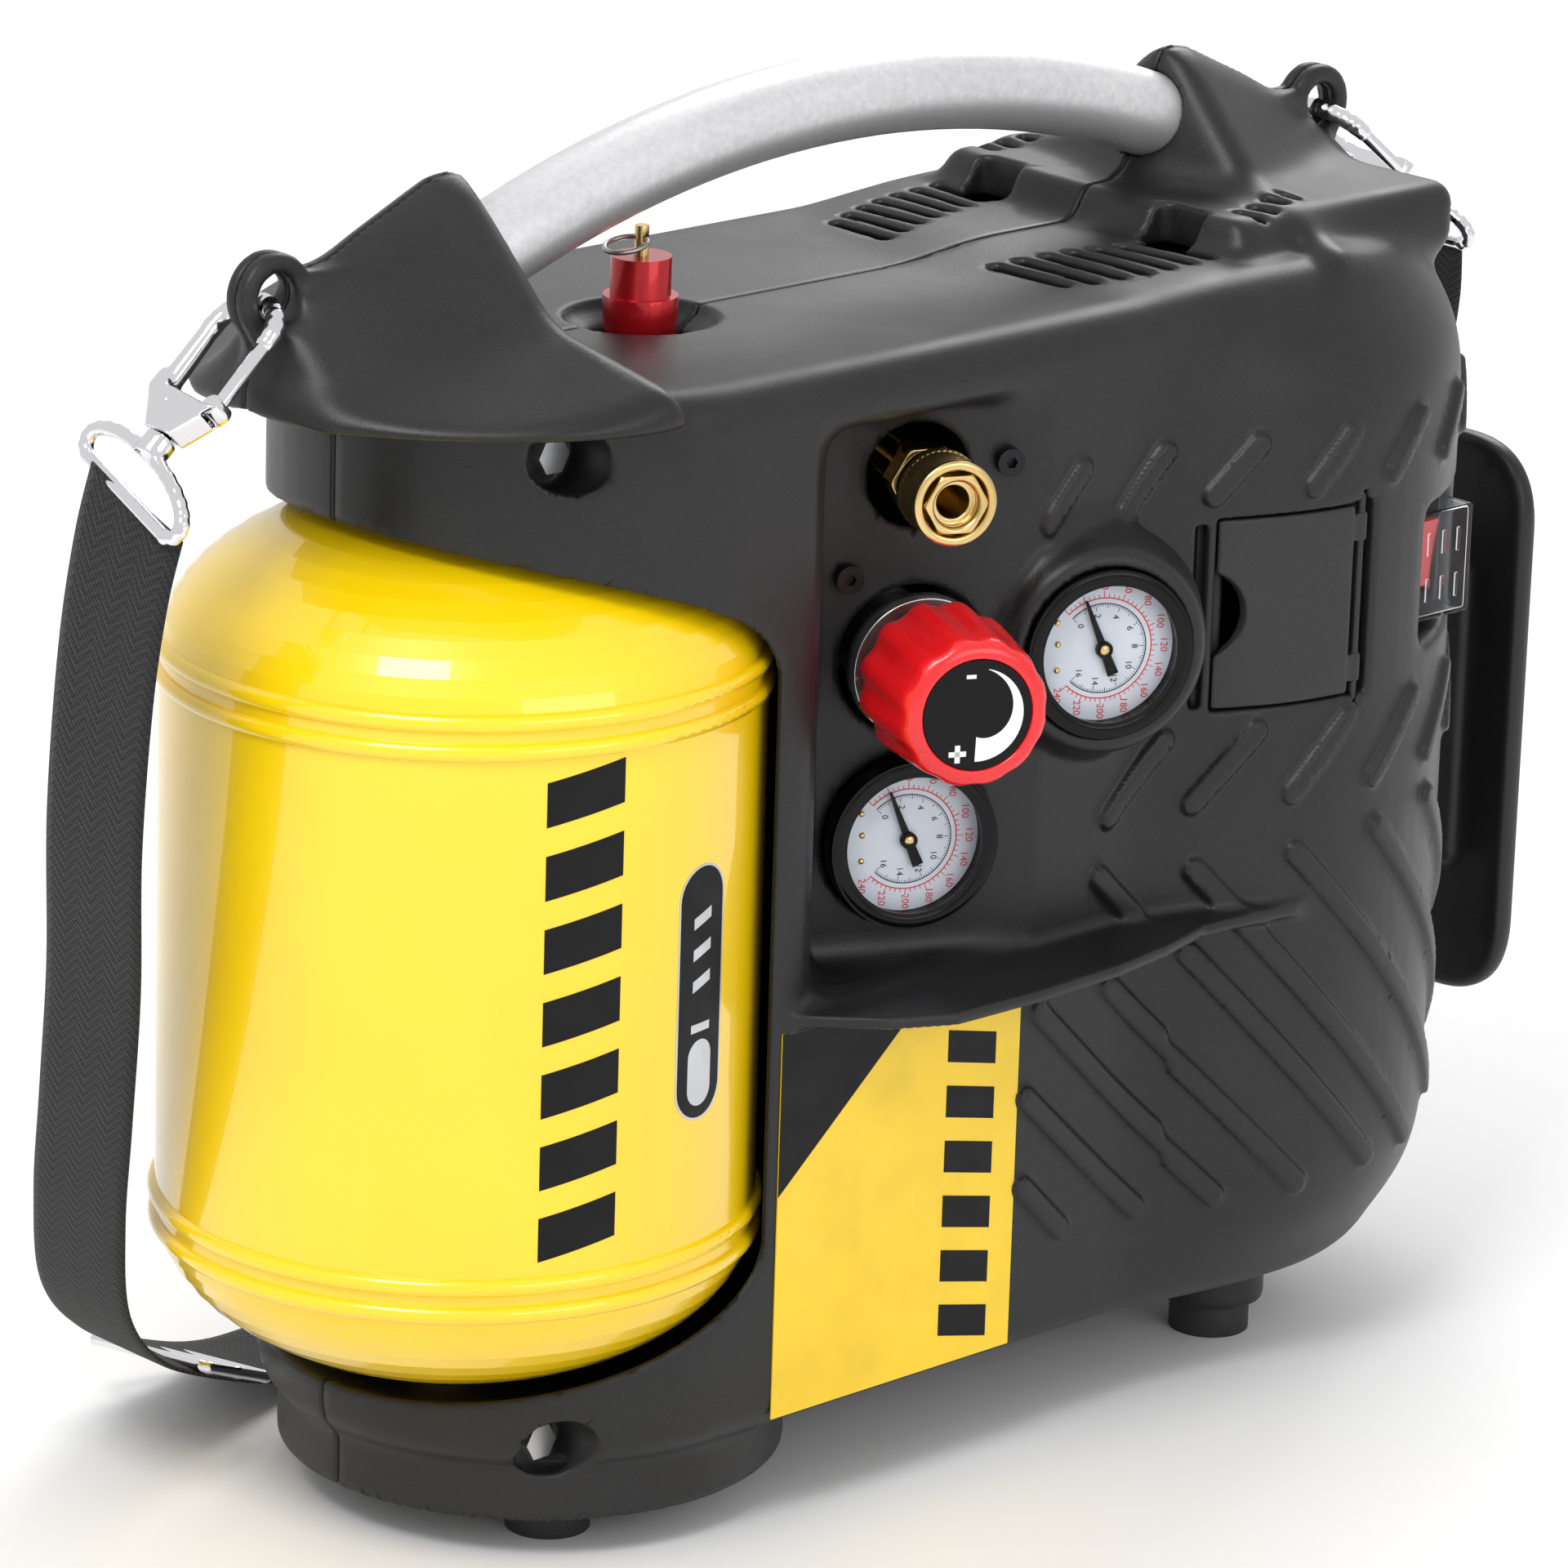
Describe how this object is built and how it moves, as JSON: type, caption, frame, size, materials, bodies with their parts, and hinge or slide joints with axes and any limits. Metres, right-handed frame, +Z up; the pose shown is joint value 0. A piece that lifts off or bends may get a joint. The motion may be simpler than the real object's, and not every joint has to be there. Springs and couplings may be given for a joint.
{
  "type": "portable air compressor",
  "caption": "Carry-size oil-free air compressor: upright yellow tank cradled in a black moulded housing, tube handle, regulator, two gauges, outlet coupler, cord winder and strap.",
  "frame": {"origin": "centre of the bounding box's bottom face, on the floor under the machine", "axes": "+Z up, X along the length with the tank towards -X and the cord winder towards +X, -Y towards the control side"},
  "size_m": [0.541, 0.259, 0.3975],
  "materials": {
    "yellow_paint": "gloss enamel over steel",
    "black_plastic": "fine moulded texture, satin",
    "anodised_tube": "satin anodised",
    "label_film": "printed film",
    "black_gloss": "gloss",
    "red_clear": "gloss, translucent red",
    "clear_cover": "clear soft plastic",
    "zinc": "zinc plated",
    "red_plastic": "gloss moulded",
    "dial_white": "printed card",
    "black_needle": "painted",
    "clear_lens": "clear",
    "brass": "machined",
    "red_anodised": "anodised red",
    "chrome": "polished plate",
    "rubber": "matt",
    "black_steel": "black oxide",
    "cast_steel": "machined",
    "cast_aluminium": "as cast",
    "white_plastic": "moulded",
    "webbing": "woven webbing"
  },
  "bodies": {
    "housing": {"tank_shell": "yellow_paint", "tank_top_dome": "yellow_paint", "tank_bottom_dome": "yellow_paint", "tank_bosses": "yellow_paint", "check_valve": "brass", "drain_valve_body": "brass", "front_shell": "black_plastic", "rear_shell": "black_plastic", "handle_tube": "anodised_tube", "side_label": "label_film", "switch_body": "black_gloss", "switch_cover": "clear_cover", "regulator_body": "zinc", "regulator_nut": "zinc", "gauge_cases": "black_gloss", "gauge_dials": "dial_white", "gauge_lenses": "clear_lens", "coupler_body": "brass", "relief_valve_base": "brass", "relief_valve_cap": "red_anodised", "cord_winder": "black_plastic", "rubber_feet": "rubber", "shell_bolts": "zinc", "panel_screws": "black_steel", "motor_stator": "cast_steel", "motor_end_bell": "cast_aluminium", "motor_bearings": "cast_steel", "crankcase": "cast_aluminium", "pump_cylinder": "cast_aluminium", "valve_plate": "cast_steel", "cylinder_head": "cast_aluminium", "head_bolts": "zinc", "air_filter": "black_plastic", "delivery_pipe": "brass", "manifold": "brass", "pressure_switch": "black_plastic", "capacitor": "white_plastic", "cord_gland": "rubber", "strap_rings": "chrome", "strap_webbing": "webbing", "strap_slider": "chrome"},
    "regulator_dial": {"regulator_knob": "red_plastic", "knob_disc": "black_gloss"},
    "outlet_collar": {"coupler_sleeve": "brass"},
    "relief_pin": {"relief_valve_pin": "brass"},
    "relief_pull_ring": {"relief_ring": "chrome"},
    "rocker": {"switch_rocker": "red_clear"},
    "door": {"storage_door": "black_plastic"},
    "outlet_pointer": {"outlet_needle": "black_needle"},
    "tank_pointer": {"tank_needle": "black_needle"},
    "rotor": {"motor_rotor": "cast_steel", "cooling_fan": "black_plastic", "crank_disc": "cast_steel"},
    "piston": {"piston_rod": "cast_aluminium", "piston_seal": "rubber"},
    "drain_tap": {"drain_knob": "brass"},
    "hook_left": {"snap_hook_left": "chrome"},
    "hook_right": {"snap_hook_right": "chrome"},
    "gate_left": {"hook_gate_left": "chrome"},
    "gate_right": {"hook_gate_right": "chrome"}
  },
  "joints": [
    {"name": "regulator_turn", "type": "hinge", "parent": "housing", "child": "regulator_dial", "pos_m": [-0.05742, -0.10771, 0.24], "axis": [-0.4226, -0.9063, 0], "range_deg": [-720, 720]},
    {"name": "coupler_release", "type": "slide", "parent": "housing", "child": "outlet_collar", "axis": [0.4226, 0.9063, 0], "range_m": [0, 0.004], "stiffness_N_per_m": 400, "springref_m": -0.004},
    {"name": "relief_pull", "type": "slide", "parent": "housing", "child": "relief_pin", "axis": [0, 0, 1], "range_m": [0, 0.003], "stiffness_N_per_m": 800, "springref_m": -0.004},
    {"name": "relief_ring_swing", "type": "hinge", "parent": "relief_pin", "child": "relief_pull_ring", "pos_m": [-0.08852, -0.00846, 0.355], "axis": [0, 1, 0], "range_deg": [-4, 18]},
    {"name": "rocker_press", "type": "hinge", "parent": "housing", "child": "rocker", "pos_m": [0.15448, -0.07846, 0.239], "axis": [1, 0, 0], "range_deg": [-14, 0]},
    {"name": "door_swing", "type": "hinge", "parent": "housing", "child": "door", "pos_m": [0.10665, -0.10306, 0.24], "axis": [0, 0, 1], "range_deg": [0, 105]},
    {"name": "outlet_pressure", "type": "hinge", "parent": "housing", "child": "outlet_pointer", "pos_m": [0.00939, -0.09694, 0.24], "axis": [-0.4226, -0.9063, 0], "range_deg": [-247, 23], "stiffness_Nm_per_rad": 0.0002, "springref_deg": 34.38},
    {"name": "tank_pressure", "type": "hinge", "parent": "housing", "child": "tank_pointer", "pos_m": [-0.04136, -0.07327, 0.188], "axis": [-0.4226, -0.9063, 0], "range_deg": [-247, 23], "stiffness_Nm_per_rad": 0.0002, "springref_deg": 34.38},
    {"name": "motor_spin", "type": "hinge", "parent": "housing", "child": "rotor", "pos_m": [0.10748, -0.00846, 0.15], "axis": [0, 0, 1], "continuous": true},
    {"name": "piston_stroke", "type": "slide", "parent": "housing", "child": "piston", "axis": [1, 0, 0], "range_m": [-0.008, 0.008]},
    {"name": "drain_turn", "type": "hinge", "parent": "housing", "child": "drain_tap", "pos_m": [-0.15052, -0.00846, 0.028], "axis": [0, 0, 1], "range_deg": [0, 720]},
    {"name": "hook_left_swivel", "type": "hinge", "parent": "housing", "child": "hook_left", "pos_m": [-0.25699, -0.00846, 0.32492], "axis": [0.7314, 0, 0.682], "range_deg": [-10, 10]},
    {"name": "hook_right_swivel", "type": "hinge", "parent": "housing", "child": "hook_right", "pos_m": [0.2187, -0.00846, 0.32814], "axis": [-0.788, 0, 0.6157], "range_deg": [-10, 10]},
    {"name": "gate_left_open", "type": "hinge", "parent": "hook_left", "child": "gate_left", "pos_m": [-0.24821, -0.01946, 0.33311], "axis": [0.682, 0, -0.7314], "range_deg": [-22, 0], "stiffness_Nm_per_rad": 0.02, "springref_deg": 28.65},
    {"name": "gate_right_open", "type": "hinge", "parent": "hook_right", "child": "gate_right", "pos_m": [0.20924, -0.01946, 0.33553], "axis": [-0.6157, 0, -0.788], "range_deg": [0, 22], "stiffness_Nm_per_rad": 0.02, "springref_deg": -28.65}
  ]
}
